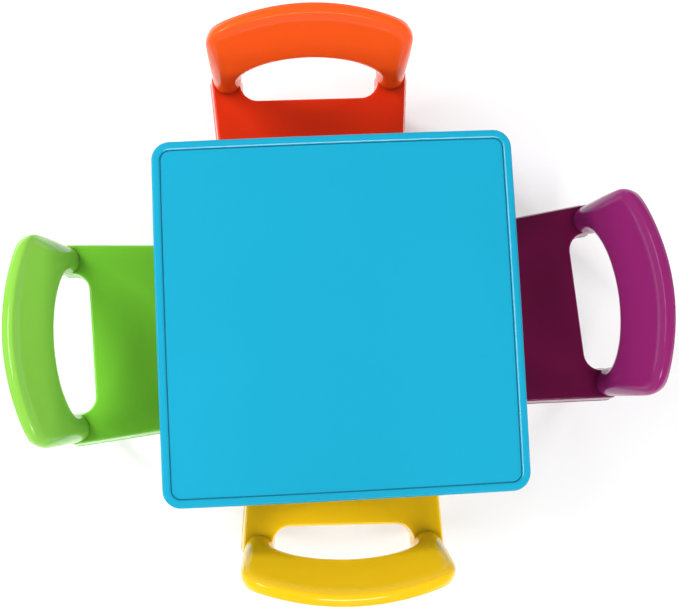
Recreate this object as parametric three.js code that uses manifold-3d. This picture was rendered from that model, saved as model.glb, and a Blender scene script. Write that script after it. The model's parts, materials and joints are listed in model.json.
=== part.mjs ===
// Children's play table with four chairs: a square table with a raised lip, and one chair per side.
// Every piece is a hollow plastic moulding, and the set snaps together without screws.
// Units are millimetres, +Z is up, and the floor is z = 0.
import * as THREE from "three";
import { mergeVertices } from "three/addons/utils/BufferGeometryUtils.js";
import Module from "manifold-3d";

const wasm = await Module();
wasm.setup();

// ---------------------------------------------------------------- driving dimensions

const WALL = 3;
const SOCKET_WALL = 2.5;
const FIT_GAP = 0.3;
// How far one solid runs into another that it is joined to or cut from.
const OVERLAP = 1;

// The table: an upside-down tray on four legs.
const TABLE = {
  height: 444.5,
  halfWidth: 259,
  bow: 1,
  cornerRadius: 28,
  apron: 50,
  draft: 2.5,
  lipWidth: 8,
  lipHeight: 2,
  lipBevel: 2,
  lipStep: 1.5,
  topThickness: 3.5,
  ribDepth: 10,
  legOffset: 212,
  legSplay: 4,
};
const LEG_BEVEL = 1.5;
const LEG_NECK = 10;
const TABLE_LEG = {
  footRadius: 22,
  shoulderRadius: 30,
  plugRadius: 25,
  plugLength: 38,
  boreRadius: 22,
  sides: 16,
};

// A chair, in its own frame: x across, y away from the table, y = 0 at the straight edge of the
// notch behind the seat.
const SEAT = {
  top: 270.7,
  skirt: 48,
  front: -220,
  lugEnd: 47,
  halfWidth: 155.1,
  flare: 0.0775,
  draft: 5.6,
  notchEdge: 6.5,
  notchHalfWidth: 105.4,
  notchDraft: 2.5,
  lugToe: 1,
  frontRadius: 36,
  lugRadius: 10,
  edgeRound: 3.5,
  notchRadius: 22,
  topThickness: 3.5,
  ribDepth: 10,
};
const CHAIR_LEG = {
  footRadius: 14.5,
  shoulderRadius: 19,
  plugRadius: 15,
  plugLength: 40,
  boreRadius: 11.7,
  sides: 12,
};
const PEG = { radius: 11.2, length: 38 };
const LEG_SPOTS = [
  { name: "front_left", socket: [-112, -190], foot: [-119, -200] },
  { name: "front_right", socket: [112, -190], foot: [119, -200] },
  { name: "rear_left", socket: [-128, 25], foot: [-133, 33] },
  { name: "rear_right", socket: [128, 25], foot: [133, 33] },
];

// The looped backrest. Its front face leans back as it rises, and it is curved in plan, more so
// towards the top. Inner and outer outlines are drawn as rays from the middle of the arch's foot.
const BACK = {
  archFoot: 299,
  archHalfWidth: 105.1,
  archHeight: 80.2,
  archPower: 1.85,
  outerHalfWidth: 149.6,
  outerHeight: 207.3,
  outerPower: 15,
  crown: 1.56e-3,
  cornerDrop: 3e-9,
  sideTaper: 0.0124,
  postInnerFlare: 0.023,
  leanOffset: 34.1,
  leanHeight: 383,
  lean: 0.196,
  leanGain: 1.83e-4,
  curve: 4.52e-4,
  curveGain: 3.21e-6,
  bandDepth: 20,
  postDepth: 27,
  edgeRound: { bandAcross: 15, bandDeep: 11, postAcross: 0.47, postDeep: 24 },
  wall: 3.2,
  rays: [0, 16, 29, 39, 46, 51, 55, 60, 68, 79],
  ribRays: [24, 48, 70, 90, 110, 132, 156],
  ribHalfAngle: 1,
};

// Where each chair stands: the side of the table it is on, how far along that side and how far out
// its notch edge is from the table's centre, and how much it is turned.
const CHAIRS = [
  { name: "orange", color: 0xf5581e, side: 0, along: -25.3, out: 351, turn: -0.4 },
  { name: "green", color: 0x7cc63f, side: 90, along: -14.5, out: 373.3, turn: 1.8 },
  { name: "yellow", color: 0xf7c81c, side: 180, along: 3.9, out: 309.2, turn: -1.7 },
  { name: "purple", color: 0x8a2166, side: -90, along: -11.9, out: 377.2, turn: 4.2 },
];
const TABLE_COLOR = 0x21b0da;

// ---------------------------------------------------------------- outlines and solids

// A closed outline with rounded corners, moved inwards by inset. Corners are { x, y, r }, listed
// counter-clockwise, and every inset gives the same number of points. bow swells each side outwards.
function roundedOutline(corners, inset, arcSteps, bow = 0, sideSteps = 1) {
  const count = corners.length;
  const points = [];
  const edges = corners.map((a, i) => {
    const b = corners[(i + 1) % count];
    const along = new THREE.Vector2(b.x - a.x, b.y - a.y).normalize();
    const inward = new THREE.Vector2(-along.y, along.x);
    return { from: new THREE.Vector2(a.x, a.y).addScaledVector(inward, inset), along, inward };
  });
  const tangents = corners.map((corner, i) => {
    const before = edges[(i + count - 1) % count];
    const after = edges[i];
    const turn = before.along.cross(after.along);
    const gap = after.from.clone().sub(before.from);
    const meet = before.from.clone().addScaledVector(before.along, gap.cross(after.along) / turn);
    const radius = Math.max(turn > 0 ? corner.r - inset : corner.r + inset, 0.8);
    const reach = radius * Math.tan(Math.acos(before.along.dot(after.along)) / 2);
    return { meet, radius, reach, turn, before, after };
  });
  tangents.forEach(({ meet, radius, reach, turn, before, after }, i) => {
    const start = meet.clone().addScaledVector(before.along, -reach);
    const end = meet.clone().addScaledVector(after.along, reach);
    const centre = start.clone().addScaledVector(before.inward, turn > 0 ? radius : -radius);
    const startAngle = Math.atan2(start.y - centre.y, start.x - centre.x);
    const sweep = Math.asin(THREE.MathUtils.clamp(turn, -1, 1));
    const fullSweep = before.along.dot(after.along) < 0 ? Math.sign(turn) * Math.PI - sweep : sweep;
    for (let step = 0; step <= arcSteps; step++) {
      const angle = startAngle + (fullSweep * step) / arcSteps;
      const spoke = new THREE.Vector2(Math.cos(angle), Math.sin(angle));
      points.push(centre.clone().addScaledVector(spoke, radius));
    }
    const next = tangents[(i + 1) % count];
    const nextStart = next.meet.clone().addScaledVector(next.before.along, -next.reach);
    for (let step = 1; step < sideSteps; step++) {
      const part = step / sideSteps;
      const swell = bow * (1 - (2 * part - 1) ** 2);
      points.push(end.clone().lerp(nextStart, part).addScaledVector(after.inward, -swell));
    }
  });
  return points;
}

function ringAt(outline, z) {
  return outline.map((p) => new THREE.Vector3(p.x, p.y, z));
}

function circle(x, y, radius, z, sides) {
  const ring = [];
  for (let i = 0; i < sides; i++) {
    const angle = (2 * Math.PI * i) / sides;
    ring.push(new THREE.Vector3(x + radius * Math.cos(angle), y + radius * Math.sin(angle), z));
  }
  return ring;
}

// A closed skin through a list of rings, with a flat cap on the first and the last. capPlane turns
// a ring into the 2-D outline that its cap is cut from.
function loft(rings, capPlane = (ring) => ring.map((p) => new THREE.Vector2(p.x, p.y))) {
  const count = rings[0].length;
  const index = [];
  for (let r = 0; r + 1 < rings.length; r++) {
    for (let i = 0; i < count; i++) {
      const a = r * count + i;
      const b = r * count + ((i + 1) % count);
      index.push(a, b, b + count, a, b + count, a + count);
    }
  }
  for (const [ring, offset, flip] of [
    [rings[0], 0, true],
    [rings.at(-1), (rings.length - 1) * count, false],
  ]) {
    const outline = capPlane(ring, offset);
    const clockwise = THREE.ShapeUtils.isClockWise(outline);
    for (const face of THREE.ShapeUtils.triangulateShape(outline, [])) {
      const corners = flip === clockwise ? face : [...face].reverse();
      index.push(...corners.map((corner) => corner + offset));
    }
  }
  return meshSolid(rings.flat(), index);
}

// A solid from points and triangles, turned inside out if its faces point inwards.
function meshSolid(points, index) {
  let volume = 0;
  for (let i = 0; i < index.length; i += 3) {
    const [a, b, c] = [points[index[i]], points[index[i + 1]], points[index[i + 2]]];
    volume += a.dot(b.clone().cross(c));
  }
  const triVerts = Uint32Array.from(volume > 0 ? index : index.toReversed());
  const vertProperties = Float32Array.from(points.flatMap((p) => [p.x, p.y, p.z]));
  return new wasm.Manifold(new wasm.Mesh({ numProp: 3, vertProperties, triVerts }));
}

function geometrySolid(geometry) {
  geometry.deleteAttribute("normal");
  geometry.deleteAttribute("uv");
  const merged = mergeVertices(geometry);
  const position = merged.getAttribute("position");
  const points = [];
  for (let i = 0; i < position.count; i++) {
    points.push(new THREE.Vector3().fromBufferAttribute(position, i));
  }
  return meshSolid(points, Array.from(merged.index.array));
}

function box(low, high) {
  const size = high.map((value, i) => value - low[i]);
  const geometry = new THREE.BoxGeometry(...size);
  geometry.translate(...low.map((value, i) => value + size[i] / 2));
  return geometrySolid(geometry);
}

// A rib: an upright wall between two points of the plan.
function rib(from, to, thickness, bottom, top) {
  const length = Math.hypot(to[0] - from[0], to[1] - from[1]);
  const geometry = new THREE.BoxGeometry(length, thickness, top - bottom);
  geometry.rotateZ(Math.atan2(to[1] - from[1], to[0] - from[0]));
  geometry.translate((from[0] + to[0]) / 2, (from[1] + to[1]) / 2, (bottom + top) / 2);
  return geometrySolid(geometry);
}

function column(x, y, radius, bottom, top, sides) {
  return loft([circle(x, y, radius, bottom, sides), circle(x, y, radius, top, sides)]);
}

function solidMesh(name, solid, color) {
  const result = solid.getMesh();
  const geometry = new THREE.BufferGeometry();
  geometry.setAttribute("position", new THREE.BufferAttribute(new Float32Array(result.vertProperties), 3));
  geometry.setIndex(new THREE.BufferAttribute(new Uint32Array(result.triVerts), 1));
  const material = new THREE.MeshStandardMaterial({ color, roughness: 0.3, metalness: 0 });
  const mesh = new THREE.Mesh(geometry, material);
  mesh.name = name;
  return mesh;
}

// ---------------------------------------------------------------- legs

// A round hollow leg, leaning from its foot to its socket, open at the top of its plug.
function legSolid(size, shoulderHeight, foot, socket) {
  const at = (radius, z) => {
    const part = Math.min(z / shoulderHeight, 1);
    const x = THREE.MathUtils.lerp(foot[0], socket[0], part);
    const y = THREE.MathUtils.lerp(foot[1], socket[1], part);
    return circle(x, y, radius, z, size.sides);
  };
  const top = shoulderHeight + size.plugLength;
  return loft([
    at(size.footRadius - LEG_BEVEL, 0),
    at(size.footRadius, LEG_BEVEL),
    at(size.shoulderRadius, shoulderHeight),
    at(size.plugRadius, shoulderHeight),
    at(size.plugRadius, top),
    at(size.boreRadius, top),
    at(size.boreRadius, shoulderHeight - LEG_NECK),
    at(size.footRadius - WALL, 2 * WALL),
  ]);
}

// ---------------------------------------------------------------- table

function tableOutline(inset) {
  const half = TABLE.halfWidth - TABLE.bow;
  const signs = [[-1, -1], [1, -1], [1, 1], [-1, 1]];
  const corners = signs.map(([x, y]) => ({ x: x * half, y: y * half, r: TABLE.cornerRadius }));
  return roundedOutline(corners, inset, 5, TABLE.bow, 4);
}

function tableTop() {
  const bottom = TABLE.height - TABLE.apron;
  const surface = TABLE.height - TABLE.lipHeight;
  const ceiling = surface - TABLE.topThickness;
  const lipOuter = TABLE.draft + TABLE.lipBevel;
  const lipInner = lipOuter + TABLE.lipWidth;
  let solid = loft([
    ringAt(tableOutline(TABLE.draft + WALL), ceiling),
    ringAt(tableOutline(WALL), bottom),
    ringAt(tableOutline(0), bottom),
    ringAt(tableOutline(TABLE.draft), TABLE.height - TABLE.lipBevel),
    ringAt(tableOutline(lipOuter), TABLE.height),
    ringAt(tableOutline(lipInner), TABLE.height),
    ringAt(tableOutline(lipInner + TABLE.lipStep), surface),
  ]);
  const reach = TABLE.halfWidth - TABLE.draft - WALL - TABLE.bow + OVERLAP;
  const ribFoot = ceiling - TABLE.ribDepth;
  const ribTop = ceiling + OVERLAP;
  const diagonal = TABLE.legOffset;
  const ribs = [
    rib([-reach, 0], [reach, 0], WALL, ribFoot, ribTop),
    rib([0, -reach], [0, reach], WALL, ribFoot, ribTop),
    rib([-diagonal, -diagonal], [diagonal, diagonal], WALL, ribFoot, ribTop),
    rib([-diagonal, diagonal], [diagonal, -diagonal], WALL, ribFoot, ribTop),
  ];
  const sockets = [];
  const holes = [];
  const hole = TABLE_LEG.plugRadius + FIT_GAP;
  for (const [x, y] of tableLegSpots()) {
    sockets.push(column(x, y, hole + WALL, bottom, ribTop, TABLE_LEG.sides));
    holes.push(column(x, y, hole, bottom - OVERLAP, ceiling, TABLE_LEG.sides));
  }
  for (const piece of [...ribs, ...sockets]) {
    solid = solid.add(piece);
  }
  for (const hole of holes) {
    solid = solid.subtract(hole);
  }
  return solidMesh("table_top", solid, TABLE_COLOR);
}

function tableLegSpots() {
  const offset = TABLE.legOffset;
  return [[-offset, -offset], [offset, -offset], [offset, offset], [-offset, offset]];
}

function tableLegs() {
  const shoulder = TABLE.height - TABLE.apron - FIT_GAP;
  return tableLegSpots().map((spot, i) => {
    const foot = spot.map((value) => value + TABLE.legSplay * Math.sign(value));
    const solid = legSolid(TABLE_LEG, shoulder, foot, spot);
    return solidMesh(`table_leg_${i + 1}`, solid, TABLE_COLOR);
  });
}

// ---------------------------------------------------------------- seat

// The seat's outline, moved in by its draft and by a wall thickness. The notch's sides have less draft.
function seatOutline(draft, wall = 0) {
  const frontHalf = SEAT.halfWidth + SEAT.flare * SEAT.front;
  const rearHalf = SEAT.halfWidth + SEAT.flare * SEAT.lugEnd;
  const notch = SEAT.notchHalfWidth - draft * (1 - SEAT.notchDraft / SEAT.draft);
  const corners = [
    { x: -frontHalf, y: SEAT.front, r: SEAT.frontRadius },
    { x: frontHalf, y: SEAT.front, r: SEAT.frontRadius },
    { x: rearHalf, y: SEAT.lugEnd, r: SEAT.lugRadius },
    { x: notch + SEAT.lugToe, y: SEAT.lugEnd, r: SEAT.lugRadius },
    { x: notch, y: SEAT.notchEdge, r: SEAT.notchRadius },
    { x: -notch, y: SEAT.notchEdge, r: SEAT.notchRadius },
    { x: -notch - SEAT.lugToe, y: SEAT.lugEnd, r: SEAT.lugRadius },
    { x: -rearHalf, y: SEAT.lugEnd, r: SEAT.lugRadius },
  ];
  return roundedOutline(corners, draft + wall, 4);
}

function seatSolid() {
  const bottom = SEAT.top - SEAT.skirt;
  const ceiling = SEAT.top - SEAT.topThickness;
  const edgeBend = (1 - Math.SQRT1_2) * SEAT.edgeRound;
  let solid = loft([
    ringAt(seatOutline(SEAT.draft, WALL), ceiling),
    ringAt(seatOutline(0, WALL), bottom),
    ringAt(seatOutline(0), bottom),
    ringAt(seatOutline(SEAT.draft), SEAT.top - SEAT.edgeRound),
    ringAt(seatOutline(SEAT.draft + edgeBend), SEAT.top - edgeBend),
    ringAt(seatOutline(SEAT.draft + SEAT.edgeRound), SEAT.top),
  ]);
  const ribFoot = ceiling - SEAT.ribDepth;
  const [frontLeft, frontRight, rearLeft, rearRight] = LEG_SPOTS.map((spot) => spot.socket);
  const ribs = [
    rib(frontLeft, rearRight, WALL, ribFoot, ceiling + OVERLAP),
    rib(frontRight, rearLeft, WALL, ribFoot, ceiling + OVERLAP),
  ];
  const notchClear = rearNotchClear();
  for (const piece of ribs) {
    solid = solid.add(piece.subtract(notchClear));
  }
  const spots = [frontLeft, frontRight, rearLeft, rearRight];
  const hole = CHAIR_LEG.plugRadius + FIT_GAP;
  for (const [x, y] of spots) {
    solid = solid.add(column(x, y, hole + SOCKET_WALL, bottom, ceiling + OVERLAP, CHAIR_LEG.sides));
  }
  for (const [x, y] of spots) {
    solid = solid.subtract(column(x, y, hole, bottom - OVERLAP, ceiling, CHAIR_LEG.sides));
  }
  const pegHole = PEG.radius + FIT_GAP;
  for (const [x, y] of [rearLeft, rearRight]) {
    solid = solid.subtract(column(x, y, pegHole, ceiling - OVERLAP, SEAT.top + OVERLAP, CHAIR_LEG.sides));
  }
  return solid;
}

// The space of the rear notch, kept clear of ribs.
function rearNotchClear() {
  const side = SEAT.notchHalfWidth + WALL;
  return box([-side, SEAT.notchEdge - WALL, 0], [side, SEAT.lugEnd + OVERLAP, SEAT.top + OVERLAP]);
}

// ---------------------------------------------------------------- backrest

function backFront(x, z) {
  const rise = z - BACK.leanHeight;
  const middle = BACK.leanOffset + BACK.lean * rise + BACK.leanGain * rise ** 2;
  return middle - (BACK.curve + BACK.curveGain * rise) * x ** 2;
}

// Distance from the arch's foot to a superellipse, along a ray.
function rayLength(angle, halfWidth, height, power) {
  const across = Math.abs(Math.cos(angle)) / halfWidth;
  const up = Math.abs(Math.sin(angle)) / height;
  return (across ** power + up ** power) ** (-1 / power);
}

// The inner and outer edge of the loop at a station. Stations below zero are on the left post,
// stations above 180 on the right post, and those between are ray angles in degrees.
function backEdges(station) {
  const onPost = station < 0 ? -station : station - 180;
  if (onPost > 0) {
    const side = station < 0 ? -1 : 1;
    const z = BACK.archFoot - onPost;
    return {
      inner: [side * (BACK.archHalfWidth + BACK.postInnerFlare * onPost), z],
      outer: [side * (BACK.outerHalfWidth + BACK.sideTaper * onPost), z],
    };
  }
  const angle = THREE.MathUtils.degToRad(180 - station);
  const innerRay = rayLength(angle, BACK.archHalfWidth, BACK.archHeight, BACK.archPower);
  const outerRay = rayLength(angle, BACK.outerHalfWidth, BACK.outerHeight, BACK.outerPower);
  const flatX = outerRay * Math.cos(angle);
  const flatRise = outerRay * Math.sin(angle);
  const drop = (BACK.crown * flatX ** 2 + BACK.cornerDrop * flatX ** 4) * (flatRise / BACK.outerHeight) ** 2;
  const rise = flatRise - drop;
  return {
    inner: [innerRay * Math.cos(angle), BACK.archFoot + innerRay * Math.sin(angle)],
    outer: [flatX * (1 - (BACK.sideTaper * rise) / BACK.outerHalfWidth), BACK.archFoot + rise],
  };
}

// How much of a station belongs to the posts: 1 on a post, 0 in the middle of the band.
function postShare(station) {
  const fromMiddle = Math.min(Math.abs(station - 90) / 90, 1);
  return fromMiddle ** 2;
}

// The cross-section at a station, as [across, depth] pairs from the rear of the inner edge, round
// the front, to the rear of the outer edge. skin is how far inside the outer surface it runs.
function backProfile(station, width, skin) {
  const share = postShare(station);
  const depth = THREE.MathUtils.lerp(BACK.bandDepth, BACK.postDepth, share);
  const { bandAcross, bandDeep, postAcross, postDeep } = BACK.edgeRound;
  const roundAcross = THREE.MathUtils.lerp(bandAcross, postAcross * width, share);
  const roundDeep = THREE.MathUtils.lerp(bandDeep, postDeep, share);
  const steps = [0, 0.5, 1];
  const across = (part) => skin + (roundAcross - skin) * (1 - Math.cos((part * Math.PI) / 2));
  const deep = (part) => skin + (roundDeep - skin) * (1 - Math.sin((part * Math.PI) / 2));
  const inner = steps.map((part) => [across(part), deep(part)]);
  const outer = steps.toReversed().map((part) => [width - across(part), deep(part)]);
  return [[skin, depth], ...inner, ...outer, [width - skin, depth]];
}

function backPoint(station, across, depth) {
  const { inner, outer } = backEdges(station);
  const width = Math.hypot(outer[0] - inner[0], outer[1] - inner[1]);
  const x = THREE.MathUtils.lerp(inner[0], outer[0], across / width);
  const z = THREE.MathUtils.lerp(inner[1], outer[1], across / width);
  return new THREE.Vector3(x, backFront(x, z) + depth, z);
}

function backWidth(station) {
  const { inner, outer } = backEdges(station);
  return Math.hypot(outer[0] - inner[0], outer[1] - inner[1]);
}

// The C-shaped wall at a station: out along the outer skin and back along the inner one.
function wallProfile(station) {
  const width = backWidth(station);
  return [...backProfile(station, width, 0), ...backProfile(station, width, BACK.wall).toReversed()];
}

function sweep(stations, profileAt) {
  const flat = stations.map(profileAt);
  const rings = stations.map((station, i) => flat[i].map(([s, d]) => backPoint(station, s, d)));
  const capPlane = (ring, offset) => {
    const profile = offset === 0 ? flat[0] : flat.at(-1);
    return profile.map(([s, d]) => new THREE.Vector2(s, d));
  };
  return loft(rings, capPlane);
}

function backrestSolid() {
  const postFoot = BACK.archFoot - SEAT.top - FIT_GAP;
  const leftHalf = [-postFoot, -postFoot / 2, ...BACK.rays];
  const rightHalf = leftHalf.map((station) => 180 - station).toReversed();
  let solid = sweep([...leftHalf, 90, ...rightHalf], wallProfile);
  const filled = (station) => backProfile(station, backWidth(station), BACK.wall / 2);
  for (const ray of BACK.ribRays) {
    solid = solid.add(sweep([ray - BACK.ribHalfAngle, ray + BACK.ribHalfAngle], filled));
  }
  for (const side of [-1, 1]) {
    const foot = side < 0 ? [-postFoot, -postFoot + WALL] : [180 + postFoot - WALL, 180 + postFoot];
    solid = solid.add(sweep(foot, filled));
    const [x, y] = LEG_SPOTS.at(side < 0 ? 2 : 3).socket;
    const pegTop = SEAT.top + FIT_GAP + OVERLAP;
    solid = solid.add(column(x, y, PEG.radius, SEAT.top + FIT_GAP - PEG.length, pegTop, CHAIR_LEG.sides));
  }
  return solid;
}

// ---------------------------------------------------------------- chairs

function chairGroup(chair, seat, backrest) {
  const group = new THREE.Group();
  group.add(solidMesh(`${chair.name}_seat`, seat, chair.color));
  group.add(solidMesh(`${chair.name}_backrest`, backrest, chair.color));
  const shoulder = SEAT.top - SEAT.skirt - FIT_GAP;
  for (const spot of LEG_SPOTS) {
    const solid = legSolid(CHAIR_LEG, shoulder, spot.foot, spot.socket);
    group.add(solidMesh(`${chair.name}_leg_${spot.name}`, solid, chair.color));
  }
  const sideAngle = THREE.MathUtils.degToRad(chair.side);
  const place = new THREE.Vector2(chair.along, chair.out).rotateAround(new THREE.Vector2(), sideAngle);
  group.position.set(place.x, place.y, 0);
  group.rotation.z = sideAngle + THREE.MathUtils.degToRad(chair.turn);
  return group;
}

// ---------------------------------------------------------------- assembly

const group = new THREE.Group();
group.add(tableTop(), ...tableLegs());
const seat = seatSolid();
const backrest = backrestSolid();
for (const chair of CHAIRS) {
  group.add(chairGroup(chair, seat, backrest));
}

// The origin is on the floor, in the middle of the set's footprint.
group.updateMatrixWorld(true);
const middle = new THREE.Box3().setFromObject(group, true).getCenter(new THREE.Vector3());
group.position.set(-middle.x, -middle.y, 0);

export default group;
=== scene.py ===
"""Looks for a children's play table with four chairs: moulded plastic in a soft white studio.

Lengths are in metres and +Z is up. A chair is modelled in its own frame, x across and y away from
the table, with y = 0 at the straight edge of the notch behind the seat.
"""
import json
import math

import bmesh
import bpy
from mathutils import Euler, Matrix, Vector
from mathutils.geometry import delaunay_2d_cdt


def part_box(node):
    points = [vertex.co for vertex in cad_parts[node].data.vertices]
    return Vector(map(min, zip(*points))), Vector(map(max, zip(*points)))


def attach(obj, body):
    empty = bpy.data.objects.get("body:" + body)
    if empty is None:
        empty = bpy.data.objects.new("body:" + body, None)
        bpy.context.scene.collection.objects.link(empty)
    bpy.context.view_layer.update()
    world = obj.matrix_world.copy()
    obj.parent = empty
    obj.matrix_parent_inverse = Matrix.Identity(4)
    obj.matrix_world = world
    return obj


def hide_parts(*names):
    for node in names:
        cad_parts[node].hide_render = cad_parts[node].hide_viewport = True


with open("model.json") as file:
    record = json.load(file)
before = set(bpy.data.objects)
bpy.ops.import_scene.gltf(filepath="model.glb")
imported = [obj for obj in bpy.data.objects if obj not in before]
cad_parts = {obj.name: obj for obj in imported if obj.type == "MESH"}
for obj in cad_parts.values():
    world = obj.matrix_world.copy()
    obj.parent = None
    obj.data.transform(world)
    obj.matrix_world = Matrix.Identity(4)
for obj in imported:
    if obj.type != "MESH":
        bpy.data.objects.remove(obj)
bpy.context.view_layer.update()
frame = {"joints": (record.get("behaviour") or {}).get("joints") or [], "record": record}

# ---------------------------------------------------------------- sizes

WALL = 0.003
FIT_GAP = 0.0003

TABLE_LOW, TABLE_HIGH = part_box("table_top")
TABLE_MIDDLE = (TABLE_LOW + TABLE_HIGH) / 2
TABLE_HEIGHT = TABLE_HIGH.z
TABLE = {
    "half_width": (TABLE_HIGH.x - TABLE_LOW.x) / 2,
    "bow": 0.001,
    "corner": 0.028,
    "apron": TABLE_HIGH.z - TABLE_LOW.z,
    "draft": 0.0025,
    "lip_width": 0.0078,
    "lip_height": 0.002,
    "top_thickness": 0.0035,
    "rib_depth": 0.010,
    "leg_offset": 0.212,
    "foot_splay": 0.004,
}
TABLE_LEG = {"foot": 0.022, "shoulder": 0.030, "plug": 0.025, "plug_length": 0.038, "bore": 0.022}

SEAT = {
    "top": 0.2707,
    "skirt": 0.048,
    "front": -0.220,
    "lug_end": 0.047,
    "half_width": 0.1551,
    "flare": 0.0775,
    "draft": 0.0056,
    "notch_edge": 0.0065,
    "notch_half_width": 0.1054,
    "notch_draft": 0.0025,
    "lug_toe": 0.001,
    "front_corner": 0.036,
    "lug_corner": 0.010,
    "notch_corner": 0.022,
    "top_thickness": 0.0035,
    "rib_depth": 0.010,
    "dish": 0.004,
}
SEAT_MOUNT = (0, -0.060, 0.2707)  # the record's seat mount, in the chair's own frame
CHAIR_LEG = {"foot": 0.0145, "shoulder": 0.019, "plug": 0.015, "plug_length": 0.040, "bore": 0.0117}
PEG = {"radius": 0.0112, "length": 0.038}
LEG_SPOTS = {
    "front_left": {"socket": (-0.112, -0.190), "foot": (-0.119, -0.200)},
    "front_right": {"socket": (0.112, -0.190), "foot": (0.119, -0.200)},
    "rear_left": {"socket": (-0.128, 0.025), "foot": (-0.133, 0.033)},
    "rear_right": {"socket": (0.128, 0.025), "foot": (0.133, 0.033)},
}

BACK = {
    "arch_foot": 0.299,
    "arch_half_width": 0.1051,
    "arch_height": 0.0802,
    "arch_power": 1.85,
    "outer_half_width": 0.1502,
    "outer_height": 0.2088,
    "outer_power": 15,
    "crown": 1.56,
    "corner_drop": 3.0,
    "side_taper": 0.0124,
    "post_inner_flare": 0.023,
    "lean_offset": 0.0341,
    "lean_height": 0.383,
    "lean": 0.196,
    "lean_gain": 0.183,
    "curve": 0.452,
    "curve_gain": 3.21,
    "band_depth": 0.020,
    "post_depth": 0.027,
    "band_round": (0.019, 0.005),
    "rear_drop": 0.0063,
    "post_round": (0.47, 0.024),
    "face_crown": 0.0012,
    "wall": 0.0032,
    "rib_rays": (24, 48, 70, 90, 110, 132, 156),
}

# Each chair's colour: its backrest and legs, then its seat.
# The seat's colour is partly painted shade: on most chairs it is set darker than the backrest, standing in for the
# shade that the table casts on the seat.
CHAIR_COLORS = {
    "orange": ((0.98, 0.103, 0.012), (0.715, 0.030, 0.004)),
    "green": ((0.245, 0.565, 0.066), (0.180, 0.550, 0.034)),
    "yellow": ((0.86, 0.503, 0.009), (0.89, 0.540, 0.005)),
    "purple": ((0.252, 0.016, 0.133), (0.142, 0.004, 0.047)),
}
TABLE_COLOR = (0.010, 0.340, 0.525)
# How far the ambient occlusion reaches for the painted contact shade.
PAINTED_SHADE_REACH = 0.018
FLOOR_HALF_WIDTH = 15.0
STRIP, PANEL = (2.0, 0.45), (1.2, 1.2)


# ---------------------------------------------------------------- outlines and meshes

def rounded_outline(corners, inset=0.0, arc_steps=9, bow=0.0, side_steps=1):
    """A counter-clockwise outline of (x, y, radius) corners, moved inwards by inset.

    Every inset gives the same number of points. bow swells the middle of each side outwards.
    """
    edges = []
    for (ax, ay, _), (bx, by, _) in zip(corners, corners[1:] + corners[:1]):
        along = Vector((bx - ax, by - ay)).normalized()
        inward = Vector((-along.y, along.x))
        edges.append((Vector((ax, ay)) + inset * inward, along, inward))
    bends = []
    for i, (_, _, radius) in enumerate(corners):
        before_from, before, before_in = edges[i - 1]
        after_from, after, after_in = edges[i]
        turn = before.x * after.y - before.y * after.x
        gap = after_from - before_from
        meet = before_from + before * ((gap.x * after.y - gap.y * after.x) / turn)
        radius = max(radius - math.copysign(inset, turn), 0.0008)
        angle = math.atan2(turn, before.dot(after))
        reach = radius * math.tan(abs(angle) / 2)
        centre = meet - before * reach + before_in * math.copysign(radius, turn)
        bends.append((meet - before * reach, meet + after * reach, centre, angle, after_in))
    points = []
    for i, (start, end, centre, angle, after_in) in enumerate(bends):
        spoke = start - centre
        for step in range(arc_steps + 1):
            part = angle * step / arc_steps
            cos, sin = math.cos(part), math.sin(part)
            points.append(centre + Vector((spoke.x * cos - spoke.y * sin, spoke.x * sin + spoke.y * cos)))
        next_start = bends[(i + 1) % len(bends)][0]
        for step in range(1, side_steps):
            part = step / side_steps
            swell = bow * (1 - (2 * part - 1) ** 2)
            points.append(end.lerp(next_start, part) - after_in * swell)
    return points


def fillet(path, steps=5):
    """A polyline through (inset, height, radius) points, with its inner corners rounded."""
    points = [Vector(path[0][:2])]
    for before, here, after in zip(path, path[1:], path[2:]):
        corner = Vector(here[:2])
        back = (Vector(before[:2]) - corner).normalized()
        on = (Vector(after[:2]) - corner).normalized()
        reach = here[2] / math.tan(max(back.angle(on), 0.2) / 2)
        start, end = corner + back * reach, corner + on * reach
        for step in range(steps + 1):
            part = step / steps
            points.append(start.lerp(corner, part).lerp(corner.lerp(end, part), part))
    return points + [Vector(path[-1][:2])]


def add_skin(bm, rings):
    """Quads between one closed ring of points and the next. Gives back the rings of vertices."""
    loops = [[bm.verts.new(point) for point in ring] for ring in rings]
    for low, high in zip(loops, loops[1:]):
        for i, corner in enumerate(low):
            j = (i + 1) % len(low)
            bm.faces.new((corner, low[j], high[j], high[i]))
    return loops


def inside(point, outline):
    """Whether a 2-D point lies in an outline, and how far it is from the outline's edge."""
    crossings = 0
    nearest = math.inf
    for a, b in zip(outline, outline[1:] + outline[:1]):
        if (a.y > point.y) != (b.y > point.y):
            crossings += point.x < a.x + (point.y - a.y) / (b.y - a.y) * (b.x - a.x)
        side = b - a
        part = min(max((point - a).dot(side) / max(side.length_squared, 1e-12), 0), 1)
        nearest = min(nearest, (a + side * part - point).length)
    return crossings % 2 == 1, nearest


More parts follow.
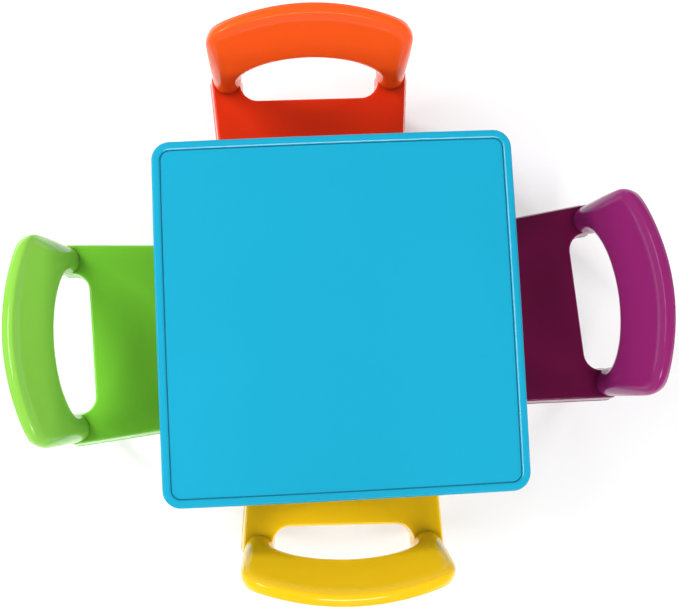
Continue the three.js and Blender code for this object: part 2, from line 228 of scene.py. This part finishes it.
def fill_gridded(bm, loop, spacing, drop):
    """Fills a level loop with triangles on a grid, lowered by drop(distance from the edge)."""
    outline = [vert.co.xy for vert in loop]
    height = loop[0].co.z
    low_x, high_x = min(p.x for p in outline), max(p.x for p in outline)
    low_y, high_y = min(p.y for p in outline), max(p.y for p in outline)
    columns = round((high_x - low_x) / spacing)
    rows = round((high_y - low_y) / spacing)
    points, drops = list(outline), []
    for row in range(1, rows):
        for column in range(1, columns):
            x = low_x + (high_x - low_x) * (column + 0.5 * (row % 2) - 0.25) / columns
            y = low_y + (high_y - low_y) * row / rows
            is_inside, distance = inside(Vector((x, y)), outline)
            if is_inside and distance > 0.6 * spacing:
                points.append(Vector((x, y)))
                drops.append(drop(distance))
    edges = [(i, (i + 1) % len(outline)) for i in range(len(outline))]
    found, _, faces, sources, _, _ = delaunay_2d_cdt(points, edges, [], 1, 1e-7)
    verts = []
    for place, source in zip(found, sources):
        index = source[0]
        if index < len(outline):
            verts.append(loop[index])
        else:
            verts.append(bm.verts.new((place.x, place.y, height - drops[index - len(outline)])))
    for face in faces:
        bm.faces.new([verts[i] for i in face])


def ring_at(outline, height):
    return [Vector((p.x, p.y, height)) for p in outline]


def circle(middle, radius, height, sides):
    steps = [2 * math.pi * i / sides for i in range(sides)]
    return [Vector((middle[0] + radius * math.cos(a), middle[1] + radius * math.sin(a), height)) for a in steps]


def finish_mesh(bm, name):
    bmesh.ops.recalc_face_normals(bm, faces=bm.faces)
    mesh = bpy.data.meshes.new(name)
    bm.to_mesh(mesh)
    bm.free()
    return mesh


def closed_skin(name, rings):
    """A closed mesh through rings, with a flat face at each end."""
    bm = bmesh.new()
    loops = add_skin(bm, rings)
    bm.faces.new(reversed(loops[0]))
    bm.faces.new(loops[-1])
    return finish_mesh(bm, name)


def column(middle, radius, bottom, top, sides=40):
    return closed_skin("column", [circle(middle, radius, bottom, sides), circle(middle, radius, top, sides)])


def upright_rib(start, end, bottom, top, thickness=WALL):
    """A wall between two points of the plan, thinner and rounded at its lower edge."""
    start, end = Vector(start), Vector(end)
    across = (end - start).orthogonal().normalized() * thickness / 2
    rings = []
    for share, height in ((0.45, bottom), (0.72, bottom + 0.0006), (0.8, bottom + 0.002), (1, top)):
        corners = (start - across * share, end - across * share, end + across * share, start + across * share)
        rings.append(ring_at(corners, height))
    return closed_skin("rib", rings)


def combine(mesh, tools, operation):
    """mesh joined with ("UNION") or cut by ("DIFFERENCE") each of the tool meshes."""
    base = bpy.data.objects.new("base", mesh)
    bpy.context.collection.objects.link(base)
    cutters = []
    for tool in tools:
        cutter = bpy.data.objects.new("cutter", tool)
        bpy.context.collection.objects.link(cutter)
        cutters.append(cutter)
        modifier = base.modifiers.new(operation, "BOOLEAN")
        modifier.operation = operation
        modifier.solver = "EXACT"
        modifier.object = cutter
    evaluated = base.evaluated_get(bpy.context.evaluated_depsgraph_get())
    result = bpy.data.meshes.new_from_object(evaluated)
    for used in [base, *cutters]:
        bpy.data.objects.remove(used)
    return result


def smooth(mesh, sharp_degrees=38):
    mesh.shade_smooth()
    mesh.set_sharp_from_angle(angle=math.radians(sharp_degrees))
    return mesh


def place_piece(name, mesh, material, body, node, matrix=Matrix.Identity(4)):
    """Puts a mesh in the scene as a piece that rides on a body and stands for a CAD node."""
    own_mesh = mesh.copy()
    own_mesh.materials.clear()
    own_mesh.materials.append(material)
    piece = bpy.data.objects.new(name, own_mesh)
    bpy.context.collection.objects.link(piece)
    piece.matrix_world = matrix
    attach(piece, body)
    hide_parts(node)
    return piece


# ---------------------------------------------------------------- legs

def leg_mesh(size, shoulder_height, foot, socket, sides=48):
    """A round hollow leg with a rounded foot and a plug on top, leaning from foot to socket."""
    foot_radius, shoulder = size["foot"], size["shoulder"]
    top = shoulder_height + size["plug_length"]
    groove = 0.016
    outside = fillet([
        (0.0001, 0.0012, 0),
        (foot_radius - 0.006, 0.0012, 0.0004),
        (foot_radius - 0.0052, 0, 0.0004),
        (foot_radius, 0, 0.0028),
        (foot_radius + 0.0002, groove, 0.0002),
        (foot_radius - 0.0004, groove + 0.0006, 0.0002),
        (foot_radius + 0.0003, groove + 0.0012, 0.0002),
        (shoulder - 0.0012, shoulder_height - 0.009, 0.0006),
        (shoulder, shoulder_height - 0.008, 0.0004),
        (shoulder, shoulder_height, 0.0012),
        (size["plug"], shoulder_height, 0.0002),
        (size["plug"], top, 0.0008),
        (size["bore"], top, 0.0006),
        (size["bore"], shoulder_height - 0.010, 0.002),
        (foot_radius - WALL, 0.010, 0.001),
        (0.0001, 0.006, 0),
    ], steps=3)
    rings = []
    for radius, height in outside:
        part = min(height / shoulder_height, 1)
        middle = Vector(foot).lerp(Vector(socket), part)
        rings.append(circle(middle, radius, height, sides))
    return smooth(closed_skin("leg", rings))


# ---------------------------------------------------------------- table

def table_outline(inset):
    half = TABLE["half_width"] - TABLE["bow"]
    corners = [(x * half, y * half, TABLE["corner"]) for x, y in ((-1, -1), (1, -1), (1, 1), (-1, 1))]
    return rounded_outline(corners, inset, arc_steps=14, bow=TABLE["bow"], side_steps=24)


def table_leg_spots():
    offset = TABLE["leg_offset"]
    return [(-offset, -offset), (offset, -offset), (offset, offset), (-offset, offset)]


def table_top_mesh():
    bottom = TABLE_HEIGHT - TABLE["apron"]
    surface = TABLE_HEIGHT - TABLE["lip_height"]
    ceiling = surface - TABLE["top_thickness"]
    draft = TABLE["draft"]
    lip = draft + 0.0022 + TABLE["lip_width"]
    profile = fillet([
        (draft + WALL + 0.012, ceiling, 0),
        (draft + WALL, ceiling, 0.003),
        (WALL, bottom, 0.0009),
        (0, bottom, 0.0009),
        (0.0003, bottom + 0.006, 0.0006),
        (0.0011, bottom + 0.0068, 0.0006),
        (draft - 0.0003, TABLE_HEIGHT - 0.0020, 0.0012),
        (draft + 0.0022, TABLE_HEIGHT - 0.0004, 0.0016),
        (draft + 0.0055, TABLE_HEIGHT, 0.0030),
        (lip - 0.0010, TABLE_HEIGHT, 0.0012),
        (lip + 0.0010, TABLE_HEIGHT - 0.0012, 0.0002),
        (lip + 0.0014, surface - 0.0011, 0.0004),
        (lip + 0.0022, surface - 0.0011, 0.0004),
        (lip + 0.0030, surface, 0.0012),
        (lip + 0.0080, surface, 0),
    ])
    bm = bmesh.new()
    loops = add_skin(bm, [ring_at(table_outline(inset), height) for inset, height in profile])
    bm.faces.new(reversed(loops[0]))
    fill_gridded(bm, loops[-1], 0.012, lambda distance: 0.0004 * min(distance / 0.08, 1))
    mesh = finish_mesh(bm, "table_top")
    rib_bottom = ceiling - TABLE["rib_depth"]
    reach = TABLE["half_width"] - 0.004
    corner = TABLE["leg_offset"]
    lines = [
        ((-reach, 0), (reach, 0)),
        ((0, -reach), (0, reach)),
        ((-corner, -corner), (corner, corner)),
        ((-corner, corner), (corner, -corner)),
    ]
    ribs = [upright_rib(start, end, rib_bottom, ceiling + 0.001) for start, end in lines]
    hole = TABLE_LEG["plug"] + FIT_GAP
    sockets = [column(spot, hole + WALL, bottom + 0.0004, ceiling + 0.001) for spot in table_leg_spots()]
    holes = [column(spot, hole, bottom - 0.001, ceiling) for spot in table_leg_spots()]
    mesh = combine(mesh, ribs + sockets, "UNION")
    return smooth(combine(mesh, holes, "DIFFERENCE"))


# ---------------------------------------------------------------- seat

def seat_outline(inset, wall=0.0):
    """The seat's outline, moved in by its draft and by a wall. The notch's sides have less draft."""
    front_half = SEAT["half_width"] + SEAT["flare"] * SEAT["front"]
    rear_half = SEAT["half_width"] + SEAT["flare"] * SEAT["lug_end"]
    eased = min(inset, SEAT["draft"]) * (1 - SEAT["notch_draft"] / SEAT["draft"])
    notch = SEAT["notch_half_width"] - eased
    lug = notch + SEAT["lug_toe"]
    corners = [
        (-front_half, SEAT["front"], SEAT["front_corner"]),
        (front_half, SEAT["front"], SEAT["front_corner"]),
        (rear_half, SEAT["lug_end"], SEAT["lug_corner"]),
        (lug, SEAT["lug_end"], SEAT["lug_corner"]),
        (notch, SEAT["notch_edge"], SEAT["notch_corner"]),
        (-notch, SEAT["notch_edge"], SEAT["notch_corner"]),
        (-lug, SEAT["lug_end"], SEAT["lug_corner"]),
        (-rear_half, SEAT["lug_end"], SEAT["lug_corner"]),
    ]
    return rounded_outline(corners, inset + wall, arc_steps=10, side_steps=12)


def seat_dish(distance):
    """How far the seat's top is lowered at a distance from its edge."""
    part = min(distance / 0.075, 1)
    return SEAT["dish"] * part * part * (3 - 2 * part)


def seat_mesh():
    bottom = SEAT["top"] - SEAT["skirt"]
    ceiling = SEAT["top"] - SEAT["top_thickness"] - SEAT["dish"]
    draft = SEAT["draft"]
    inner = fillet([
        (draft + 0.006, ceiling, 0),
        (draft, ceiling, 0.003),
        (0, bottom, 0.0009),
    ])[:-1]
    outer = fillet([
        (WALL, bottom, 0),
        (WALL / 2, bottom, 0.0002),
        (0, bottom, 0.0009),
        (0.0002, bottom + 0.005, 0.0005),
        (0.0010, bottom + 0.0058, 0.0005),
        (draft, SEAT["top"], 0.0042),
        (draft + 0.0062, SEAT["top"], 0),
    ])
    rings = [ring_at(seat_outline(inset, WALL), height) for inset, height in inner]
    rings += [ring_at(seat_outline(inset), height) for inset, height in outer]
    bm = bmesh.new()
    loops = add_skin(bm, rings)
    bm.faces.new(reversed(loops[0]))
    fill_gridded(bm, loops[-1], 0.007, seat_dish)
    mesh = finish_mesh(bm, "seat")
    rib_bottom = ceiling - SEAT["rib_depth"]
    spots = {name: spot["socket"] for name, spot in LEG_SPOTS.items()}
    edge = SEAT["notch_edge"] - draft - WALL / 2
    stop = {}
    for name, start in (("rear_left", "front_right"), ("rear_right", "front_left")):
        (ax, ay), (bx, by) = spots[start], spots[name]
        share = (edge - ay) / (by - ay)
        stop[name] = (ax + (bx - ax) * share, edge)
    ribs = [
        upright_rib(spots["front_right"], stop["rear_left"], rib_bottom, ceiling + 0.001),
        upright_rib(spots["front_left"], stop["rear_right"], rib_bottom, ceiling + 0.001),
        upright_rib((0, SEAT["front"] + 0.004), (0, edge), rib_bottom + 0.002, ceiling + 0.001),
        upright_rib((-0.138, -0.095), (0.138, -0.095), rib_bottom + 0.002, ceiling + 0.001),
    ]
    hole = CHAIR_LEG["plug"] + FIT_GAP
    sockets = [column(spot, hole + 0.0025, bottom + 0.0004, ceiling + 0.001) for spot in spots.values()]
    holes = [column(spot, hole, bottom - 0.001, ceiling) for spot in spots.values()]
    peg_hole = PEG["radius"] + FIT_GAP
    for name in ("rear_left", "rear_right"):
        holes.append(column(spots[name], peg_hole, ceiling - 0.001, SEAT["top"] + 0.001))
    mesh = combine(mesh, ribs + sockets, "UNION")
    return smooth(combine(mesh, holes, "DIFFERENCE"))


# ---------------------------------------------------------------- backrest

def back_front(x, z):
    """How far back the front face of the backrest is."""
    rise = z - BACK["lean_height"]
    middle = BACK["lean_offset"] + BACK["lean"] * rise + BACK["lean_gain"] * rise ** 2
    return middle - (BACK["curve"] + BACK["curve_gain"] * rise) * x ** 2


def ray_length(angle, half_width, height, power):
    """Distance from the middle of the arch's foot to a superellipse, along a ray."""
    across = abs(math.cos(angle)) / half_width
    up = abs(math.sin(angle)) / height
    return (across ** power + up ** power) ** (-1 / power)


def back_edges(station):
    """The loop's inner and outer edge, as (x, z). Stations are ray angles in degrees.

    A station below 0 is that many millimetres down the left post, and one above 180 the same on
    the right post.
    """
    on_post = max(-station, station - 180) * 0.001
    foot = BACK["arch_foot"]
    if on_post > 0:
        side = -1 if station < 0 else 1
        inner = side * (BACK["arch_half_width"] + BACK["post_inner_flare"] * on_post)
        outer = side * (BACK["outer_half_width"] + BACK["side_taper"] * on_post)
        return Vector((inner, foot - on_post)), Vector((outer, foot - on_post))
    angle = math.radians(180 - station)
    inner = ray_length(angle, BACK["arch_half_width"], BACK["arch_height"], BACK["arch_power"])
    outer = ray_length(angle, BACK["outer_half_width"], BACK["outer_height"], BACK["outer_power"])
    x, rise = outer * math.cos(angle), outer * math.sin(angle)
    drop = BACK["crown"] * x ** 2 + BACK["corner_drop"] * x ** 4
    rise -= drop * (rise / BACK["outer_height"]) ** 2
    x *= 1 - BACK["side_taper"] * rise / BACK["outer_half_width"]
    return (
        Vector((inner * math.cos(angle), foot + inner * math.sin(angle))),
        Vector((x, foot + rise)),
    )


def back_point(station, across, depth):
    inner, outer = back_edges(station)
    spot = inner.lerp(outer, across / (outer - inner).length)
    return Vector((spot.x, back_front(spot.x, spot.y) + depth, spot.y))


def back_profile(station, skin, steps=8):
    """The section at a station as (across, depth), from the rear of the inner edge, round the
    front, to the rear of the outer edge. skin is how far inside the outer surface it runs.

    share is 0 at the middle of the band and 1 on the posts, whose sections differ.
    """
    inner, outer = back_edges(station)
    width = (outer - inner).length
    share = min(abs(station - 90) / 90, 1) ** 2
    band_across, band_deep = BACK["band_round"]
    post_across, post_deep = BACK["post_round"]
    depth = BACK["band_depth"] + (BACK["post_depth"] - BACK["band_depth"]) * share
    round_across = band_across + (post_across * width - band_across) * share
    round_deep = band_deep + (post_deep - band_deep) * share
    bend = []
    for step in range(steps + 1):
        angle = math.pi / 2 * step / steps
        across = skin + (round_across - skin) * (1 - math.cos(angle))
        bend.append((across, skin + (round_deep - skin) * (1 - math.sin(angle))))
    face = []
    for step in range(1, steps):
        across = round_across + (width - 2 * round_across) * step / steps
        crown = BACK["face_crown"] * (1 - (2 * step / steps - 1) ** 2) ** 2 * (1 - share)
        face.append((across, skin - crown))
    near, far = [], []
    for step in range(steps, 0, -1):
        part = step / steps
        deep = round_deep + (depth - round_deep) * part
        near.append((skin, deep))
        far.append((width - skin - BACK["rear_drop"] * (1 - share) * part ** 2, deep))
    far += [(width - across, deep) for across, deep in bend]
    return near + bend + face + far[::-1]


def rim(first, last):
    """The rounded edge of the wall between the outer and the inner skin."""
    middle = (Vector(first) + Vector(last)) / 2
    spoke = Vector(first) - middle
    deep = Vector((0, spoke.length))
    return [middle + spoke * math.cos(a) + deep * math.sin(a) for a in (math.pi / 4, math.pi / 2, math.pi * 3 / 4)]


def wall_profile(station):
    outside = back_profile(station, 0.0)
    inside_skin = back_profile(station, BACK["wall"])[::-1]
    return outside + rim(outside[-1], inside_skin[0]) + inside_skin + rim(inside_skin[-1], outside[0])


def sweep(name, stations, profile):
    return closed_skin(name, [[back_point(s, *spot) for spot in profile(s)] for s in stations])


def back_rib(ray, half_thickness=0.6):
    """A web across the hollow rear of the band, set a little below the rim."""
    def filled(station):
        section = back_profile(station, BACK["wall"] / 2)
        lowest = section[0][1] - 0.0025
        return [(across, min(deep, lowest)) for across, deep in section]
    return sweep("rib", [ray - half_thickness, ray + half_thickness], filled)


def backrest_mesh():
    post_foot = (BACK["arch_foot"] - SEAT["top"] - FIT_GAP) * 1000
    rays = [180 * step / 128 for step in range(129)]
    posts = [post_foot * part for part in (1, 0.94, 0.7, 0.35)]
    stations = [-drop for drop in posts] + rays + [180 + drop for drop in posts[::-1]]
    mesh = sweep("backrest", stations, wall_profile)
    tools = [back_rib(ray) for ray in BACK["rib_rays"]]

    def filled(station):
        return back_profile(station, BACK["wall"] / 2)

    plate = WALL * 1000
    tools.append(sweep("foot", [-post_foot, -post_foot + plate], filled))
    tools.append(sweep("foot", [180 + post_foot - plate, 180 + post_foot], filled))
    peg_top = SEAT["top"] + 0.0015
    for name in ("rear_left", "rear_right"):
        socket = LEG_SPOTS[name]["socket"]
        tools.append(column(socket, PEG["radius"], peg_top - 0.001 - PEG["length"], peg_top))
    return smooth(combine(mesh, tools, "UNION"))


# ---------------------------------------------------------------- moulded plastic

def moulded_plastic(name, color, sinks=None):
    """Glossy moulded plastic: slight mottling, flow marks, orange peel, sink marks, edges paler from
    wear and a painted highlight, and painted shade in creases, in a piece and where pieces meet.

    sinks(graph, coordinates) gives a height socket for the sink marks over the ribs.
    """
    material = bpy.data.materials.new(name)
    material.use_nodes = True
    material.diffuse_color = (*color, 1)
    graph = material.node_tree
    shader = graph.nodes["Principled BSDF"]
    shader.inputs["Specular IOR Level"].default_value = 0.35
    shader.inputs["IOR"].default_value = 1.47
    shader.inputs["Subsurface Weight"].default_value = 0.06
    shader.inputs["Subsurface Radius"].default_value = (0.006, 0.004, 0.003)
    shader.inputs["Subsurface Scale"].default_value = 1.0
    shader.inputs["Coat Weight"].default_value = 0.06
    shader.inputs["Coat Roughness"].default_value = 0.08
    coordinates = graph.nodes.new("ShaderNodeTexCoord").outputs["Object"]

    def noise(scale, detail, stretch=None):
        node = graph.nodes.new("ShaderNodeTexNoise")
        node.inputs["Scale"].default_value = scale
        node.inputs["Detail"].default_value = detail
        source = coordinates
        if stretch:
            mapping = graph.nodes.new("ShaderNodeMapping")
            mapping.inputs["Scale"].default_value = stretch
            graph.links.new(coordinates, mapping.inputs["Vector"])
            source = mapping.outputs["Vector"]
        graph.links.new(source, node.inputs["Vector"])
        return node.outputs["Fac"]

    def remap(source, low, high, to_low, to_high):
        node = graph.nodes.new("ShaderNodeMapRange")
        node.interpolation_type = "SMOOTHSTEP"
        for socket, value in (("From Min", low), ("From Max", high), ("To Min", to_low), ("To Max", to_high)):
            node.inputs[socket].default_value = value
        graph.links.new(source, node.inputs["Value"])
        return node.outputs["Result"]

    def mix(factor, first, second):
        node = graph.nodes.new("ShaderNodeMix")
        node.data_type = "RGBA"
        graph.links.new(factor, node.inputs["Factor"])
        for socket, value in ((6, first), (7, second)):
            if isinstance(value, tuple):
                node.inputs[socket].default_value = (*value, 1)
            else:
                graph.links.new(value, node.inputs[socket])
        return node.outputs[2]

    darker = tuple(channel * 0.98 for channel in color)
    lighter = tuple(min(channel * 1.02, 1) for channel in color)
    # Paler colour for convex edges: partly edge wear, partly a painted highlight along the edges.
    worn_and_highlit = tuple(channel * 0.82 + 0.07 for channel in color)
    mottled = mix(remap(noise(3, 2), 0.3, 0.7, 0, 1), darker, lighter)
    flow = remap(noise(4, 3, (1, 5, 1)), 0.55, 0.8, 0, 0.12)
    streaked = mix(flow, mottled, lighter)
    edge = graph.nodes.new("ShaderNodeNewGeometry").outputs["Pointiness"]
    edge_worn_and_highlit = mix(remap(edge, 0.52, 0.62, 0, 0.20), streaked, worn_and_highlit)
    # Painted shade in creases: a darker copy of the colour, mixed in where the surface is concave.
    painted_shade_color = tuple(channel * 0.45 for channel in color)
    crease_shaded_color = mix(remap(edge, 0.40, 0.49, 0.9, 0), edge_worn_and_highlit, painted_shade_color)
    # Painted shade near other surfaces: ambient occlusion darkens the colour where pieces meet and in hollows, like
    # a contact shadow.
    shade_occlusion = graph.nodes.new("ShaderNodeAmbientOcclusion")
    shade_occlusion.samples = 6
    shade_occlusion.inputs["Distance"].default_value = PAINTED_SHADE_REACH
    contact_shaded_color = mix(remap(shade_occlusion.outputs["AO"], 0.42, 0.97, 0.75, 0), crease_shaded_color, painted_shade_color)
    graph.links.new(contact_shaded_color, shader.inputs["Base Color"])

    rough = remap(noise(38, 5), 0.3, 0.7, 0.13, 0.17)
    graph.links.new(rough, shader.inputs["Roughness"])

    def bump(height, strength, distance, before=None):
        node = graph.nodes.new("ShaderNodeBump")
        node.inputs["Strength"].default_value = strength
        node.inputs["Distance"].default_value = distance
        graph.links.new(height, node.inputs["Height"])
        if before:
            graph.links.new(before, node.inputs["Normal"])
        return node.outputs["Normal"]

    normal = bump(noise(9, 1), 0.2, 0.0008)
    if sinks:
        normal = bump(sinks(graph, coordinates), 0.3, 0.0003, normal)
    normal = bump(noise(500, 2), 0.06, 0.0002, normal)
    graph.links.new(normal, shader.inputs["Normal"])
    return material


def math_node(graph, operation, first, second=None):
    node = graph.nodes.new("ShaderNodeMath")
    node.operation = operation
    for socket, value in zip(node.inputs, (first, second)):
        if value is None:
            continue
        if isinstance(value, (int, float)):
            socket.default_value = value
        else:
            graph.links.new(value, socket)
    return node.outputs[0]


def sink_lines(graph, distances, half_width):
    """Shallow channels where any of the distances is under half_width."""
    nearest = distances[0]
    for distance in distances[1:]:
        nearest = math_node(graph, "MINIMUM", nearest, distance)
    node = graph.nodes.new("ShaderNodeMapRange")
    node.interpolation_type = "SMOOTHSTEP"
    node.inputs["From Max"].default_value = half_width
    graph.links.new(nearest, node.inputs["Value"])
    return node.outputs["Result"]


def table_sinks(graph, coordinates):
    split = graph.nodes.new("ShaderNodeSeparateXYZ")
    graph.links.new(coordinates, split.inputs[0])
    x, y = split.outputs["X"], split.outputs["Y"]
    lines = [
        math_node(graph, "ABSOLUTE", x),
        math_node(graph, "ABSOLUTE", y),
        math_node(graph, "ABSOLUTE", math_node(graph, "SUBTRACT", x, y)),
        math_node(graph, "ABSOLUTE", math_node(graph, "ADD", x, y)),
    ]
    return sink_lines(graph, lines, 0.011)


def seat_sinks(graph, coordinates):
    split = graph.nodes.new("ShaderNodeSeparateXYZ")
    graph.links.new(coordinates, split.inputs[0])
    x = split.outputs["X"]
    y = math_node(graph, "ADD", split.outputs["Y"], 0.0871)
    lines = [math_node(graph, "ABSOLUTE", x)]
    for sign in ("SUBTRACT", "ADD"):
        lines.append(math_node(graph, "ABSOLUTE", math_node(graph, sign, x, math_node(graph, "MULTIPLY", y, 1.116))))
    return sink_lines(graph, lines, 0.008)


# ---------------------------------------------------------------- the pieces

def chair_matrix(name):
    """A chair's frame, from its slide's direction and its seat mount."""
    axis = next(joint["axis"] for joint in frame["joints"] if joint["child"] == f"{name}_chair")
    mount = next(m for m in frame["record"]["mounts"] if m["name"] == f"{name}_seat_top")
    turn = math.atan2(axis[1], axis[0]) - math.pi / 2
    spot = Vector(mount["pos_m"]) - Matrix.Rotation(turn, 3, "Z") @ Vector(SEAT_MOUNT)
    return Matrix.Translation(Vector((spot.x, spot.y, 0))) @ Matrix.Rotation(turn, 4, "Z")


def build_table():
    plain = moulded_plastic("table_plastic", TABLE_COLOR)
    ribbed = moulded_plastic("table_top_plastic", TABLE_COLOR, table_sinks)
    middle = Matrix.Translation((TABLE_MIDDLE.x, TABLE_MIDDLE.y, 0))
    place_piece("table_top_shell", table_top_mesh(), ribbed, "table", "table_top", middle)
    shoulder = TABLE_HEIGHT - TABLE["apron"] - FIT_GAP
    splay = TABLE["foot_splay"]
    for number, spot in enumerate(table_leg_spots(), start=1):
        foot = [value + math.copysign(splay, value) for value in spot]
        mesh = leg_mesh(TABLE_LEG, shoulder, foot, spot, sides=64)
        name = f"table_leg_{number}"
        place_piece(f"{name}_shell", mesh, plain, "table", name, middle)


def build_chairs():
    seat, backrest = seat_mesh(), backrest_mesh()
    shoulder = SEAT["top"] - SEAT["skirt"] - FIT_GAP
    legs = {
        name: leg_mesh(CHAIR_LEG, shoulder, spot["foot"], spot["socket"])
        for name, spot in LEG_SPOTS.items()
    }
    for name, (color, seat_color_with_painted_shade) in CHAIR_COLORS.items():
        slot, body, matrix = f"{name}_plastic", f"{name}_chair", chair_matrix(name)
        plain = moulded_plastic(slot, color)
        # The seat's colour is partly painted shade from the table above it.
        ribbed = moulded_plastic(f"{name}_seat_plastic", seat_color_with_painted_shade, seat_sinks)
        place_piece(f"{name}_seat_shell", seat, ribbed, body, f"{name}_seat", matrix)
        place_piece(f"{name}_backrest_shell", backrest, plain, body, f"{name}_backrest", matrix)
        for spot, mesh in legs.items():
            node = f"{name}_leg_{spot}"
            place_piece(f"{node}_shell", mesh, plain, body, node, matrix)


# ---------------------------------------------------------------- studio

def add_camera():
    """Straight above the table, a little off its centre and slightly tilted."""
    camera = bpy.data.cameras.new("camera")
    camera.sensor_width = 36
    camera.lens = 62.57
    camera.shift_x, camera.shift_y = -0.0267, -0.0388
    camera.clip_end = 50
    holder = bpy.data.objects.new("camera", camera)
    holder.location = TABLE_MIDDLE.xy.to_3d() + Vector((-0.0620, -0.0910, 2.0953))
    holder.rotation_euler = Euler([math.radians(angle) for angle in (5.035, -2.838, -2.774)])
    bpy.context.collection.objects.link(holder)
    bpy.context.scene.camera = holder


def add_floor():
    bm = bmesh.new()
    bmesh.ops.create_grid(bm, x_segments=1, y_segments=1, size=FLOOR_HALF_WIDTH)
    floor = bpy.data.objects.new("studio_floor", finish_mesh(bm, "studio_floor"))
    material = bpy.data.materials.new("studio_floor")
    material.use_nodes = True
    shader = material.node_tree.nodes["Principled BSDF"]
    shader.inputs["Base Color"].default_value = (0.93, 0.93, 0.935, 1)
    shader.inputs["Roughness"].default_value = 0.6
    shader.inputs["Specular IOR Level"].default_value = 0.2
    floor.data.materials.append(material)
    floor.location.z = -0.0005
    bpy.context.collection.objects.link(floor)


def add_soft_light(name, location, size, watts, glossy=False):
    """A soft light aimed at the set. Only a glossy one shows in the plastic's reflections."""
    light = bpy.data.lights.new(name, "AREA")
    light.shape = "RECTANGLE"
    light.size, light.size_y = size
    light.energy = watts
    holder = bpy.data.objects.new(name, light)
    holder.location = location
    aim = Vector((0, 0, 0.3)) - Vector(location)
    holder.rotation_euler = aim.to_track_quat("-Z", "Y").to_euler()
    holder.visible_glossy = glossy
    bpy.context.collection.objects.link(holder)


def add_studio():
    world = bpy.data.worlds.new("studio")
    world.use_nodes = True
    background = world.node_tree.nodes["Background"]
    background.inputs["Color"].default_value = (1, 1, 1, 1)
    background.inputs["Strength"].default_value = 0.12
    bpy.context.scene.world = world
    bpy.context.scene.view_settings.view_transform = "Standard"
    add_soft_light("front", (0.1, -2.3, 2.5), STRIP, 33, glossy=True)
    add_soft_light("left", (-2.4, 0, 2.4), STRIP, 31, glossy=True)
    add_soft_light("rear_left", (-1.9, 1.7, 2.2), PANEL, 64)
    add_soft_light("front_right", (1.8, -1.8, 2.2), PANEL, 28)
    add_soft_light("rear_right", (1.8, 1.8, 2.2), PANEL, 18)
    add_soft_light("low_front", (0, -3.0, 1.2), PANEL, 28)
    add_soft_light("low_left", (-3.0, 0, 1.2), PANEL, 28)
    add_soft_light("low_right", (3.0, 0, 1.2), PANEL, 42)
    add_soft_light("low_rear", (0, 3.0, 1.2), PANEL, 13)


add_camera()
build_table()
build_chairs()
add_floor()
add_studio()
